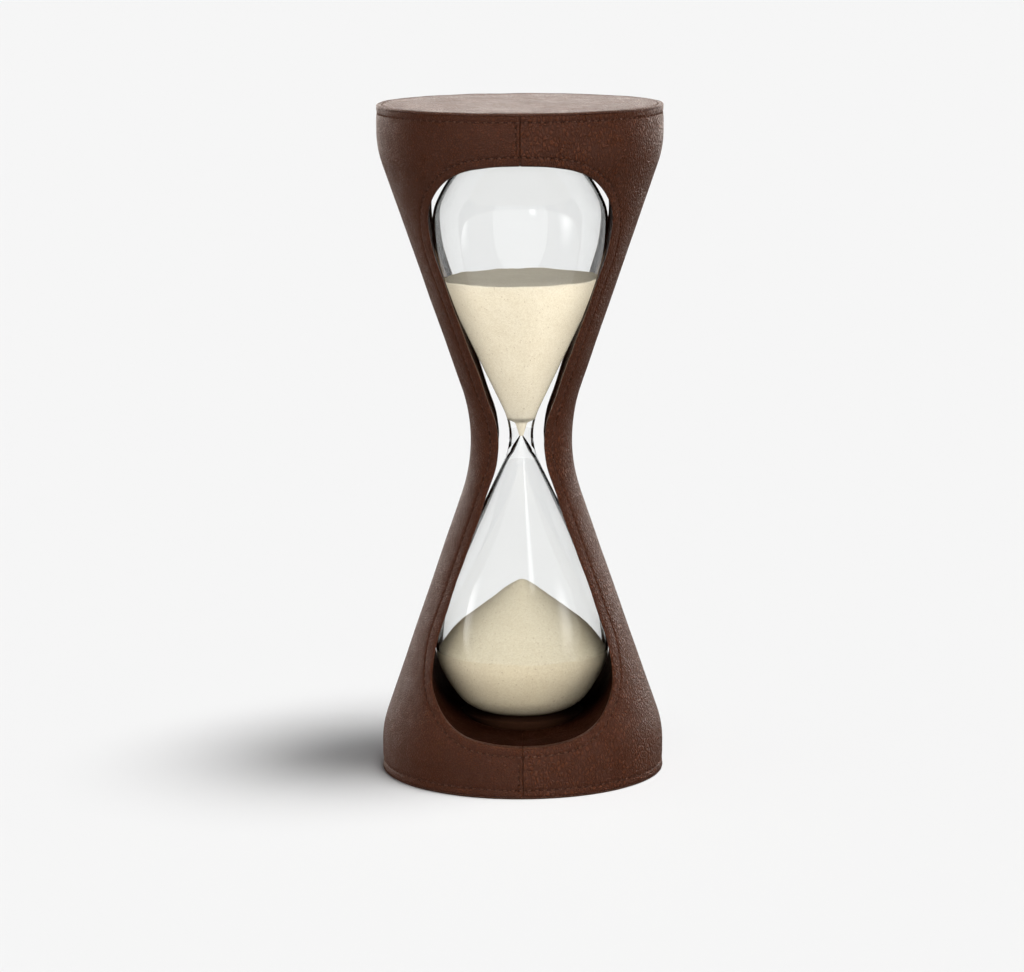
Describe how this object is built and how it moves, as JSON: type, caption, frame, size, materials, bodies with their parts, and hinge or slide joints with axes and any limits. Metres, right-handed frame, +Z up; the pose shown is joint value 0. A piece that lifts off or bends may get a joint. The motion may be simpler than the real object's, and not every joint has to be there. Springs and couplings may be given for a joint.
{
  "type": "hourglass",
  "caption": "Hourglass: a two-bulb glass sand timer held in a round, waisted frame covered in stitched leather, with windows front and back.",
  "frame": {"origin": "centre of the underside, on the surface that the hourglass stands on", "axes": "+Z up along the hourglass's own axis, through both bulbs; +X to the right of someone facing the front window, which faces -Y"},
  "size_m": [0.11, 0.11, 0.26],
  "materials": {
    "core_wood": "matte",
    "dowel_wood": "matte",
    "frame_leather": "satin",
    "lining_leather": "satin",
    "end_leather": "satin",
    "clear_glass": "polished",
    "stopper_cork": "matte",
    "seat_felt": "matte",
    "sand": "matte",
    "thread": "satin"
  },
  "bodies": {
    "frame": {"core_left": "core_wood", "core_right": "core_wood", "core_dowels": "dowel_wood", "sleeve_left": "frame_leather", "sleeve_right": "frame_leather", "lining_left": "lining_leather", "lining_right": "lining_leather", "top_disc": "end_leather", "bottom_disc": "end_leather", "glass_bulb": "clear_glass", "fill_stopper": "stopper_cork", "upper_seat_pad": "seat_felt", "lower_seat_pad": "seat_felt", "thread_top_disc": "thread", "thread_bottom_disc": "thread", "thread_sleeve_top": "thread", "thread_sleeve_bottom": "thread", "thread_window_front": "thread", "thread_window_back": "thread", "thread_seams": "thread"},
    "falling_sand": {"upper_sand": "sand"},
    "growing_heap": {"lower_sand": "sand"}
  },
  "joints": [
    {"name": "sand_fall", "type": "slide", "parent": "frame", "child": "falling_sand", "axis": [0, 0, -1], "range_m": [-0.032, 0.0612], "deforming": ["upper_sand"]},
    {"name": "heap_rise", "type": "slide", "parent": "frame", "child": "growing_heap", "axis": [0, 0, 1], "range_m": [-0.01984, 0.03794], "deforming": ["lower_sand"]}
  ],
  "couplings": [
    {"joint": "heap_rise", "follows": "sand_fall", "ratio": 0.62}
  ]
}
